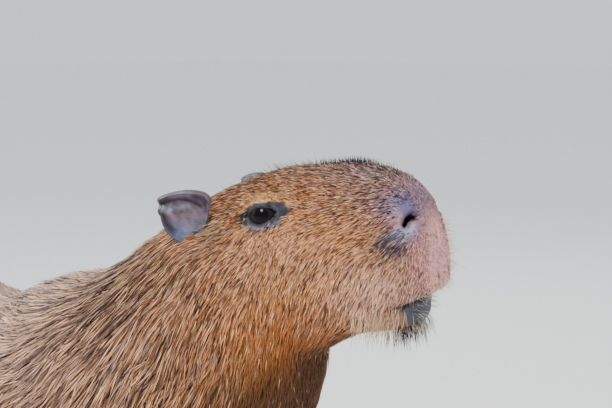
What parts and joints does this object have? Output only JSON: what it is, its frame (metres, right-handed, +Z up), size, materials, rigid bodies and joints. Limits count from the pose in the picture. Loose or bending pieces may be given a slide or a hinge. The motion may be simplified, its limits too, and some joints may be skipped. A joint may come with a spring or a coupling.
{
  "type": "capybara life-size model",
  "caption": "Life-size standing capybara with its head raised and turned a little, long coarse coat, small round ears and webbed feet, for display.",
  "frame": {"origin": "on the floor, under the middle of the animal's own box", "axes": "+X forward along the body towards the head, +Y to the animal's left, +Z up"},
  "size_m": [1.1448, 0.35, 0.6501],
  "materials": {
    "coat": "long coarse orange-brown fur, streaked tan and dark",
    "bare_skin": "bare grey-violet skin, finely wrinkled",
    "eye": "moist dark brown eye",
    "claw": "dark horn with a satin polish"
  },
  "bodies": {
    "root": {"head": "coat", "lower_jaw": "coat", "neck": "coat", "chest": "coat", "trunk": "coat", "rump": "coat", "tail": "coat", "upper_foreleg_right": "coat", "forearm_right": "coat", "forefoot_right": "coat", "thigh_right": "coat", "shank_right": "coat", "hindfoot_right": "coat", "upper_foreleg_left": "coat", "forearm_left": "coat", "forefoot_left": "coat", "thigh_left": "coat", "shank_left": "coat", "hindfoot_left": "coat", "ear_right": "bare_skin", "ear_left": "bare_skin", "eye_right": "eye", "eye_left": "eye", "claw_fore_right_1": "claw", "claw_fore_right_2": "claw", "claw_fore_right_3": "claw", "claw_fore_right_4": "claw", "claw_fore_left_1": "claw", "claw_fore_left_2": "claw", "claw_fore_left_3": "claw", "claw_fore_left_4": "claw", "claw_hind_right_1": "claw", "claw_hind_right_2": "claw", "claw_hind_right_3": "claw", "claw_hind_left_1": "claw", "claw_hind_left_2": "claw", "claw_hind_left_3": "claw"}
  },
  "joints": []
}
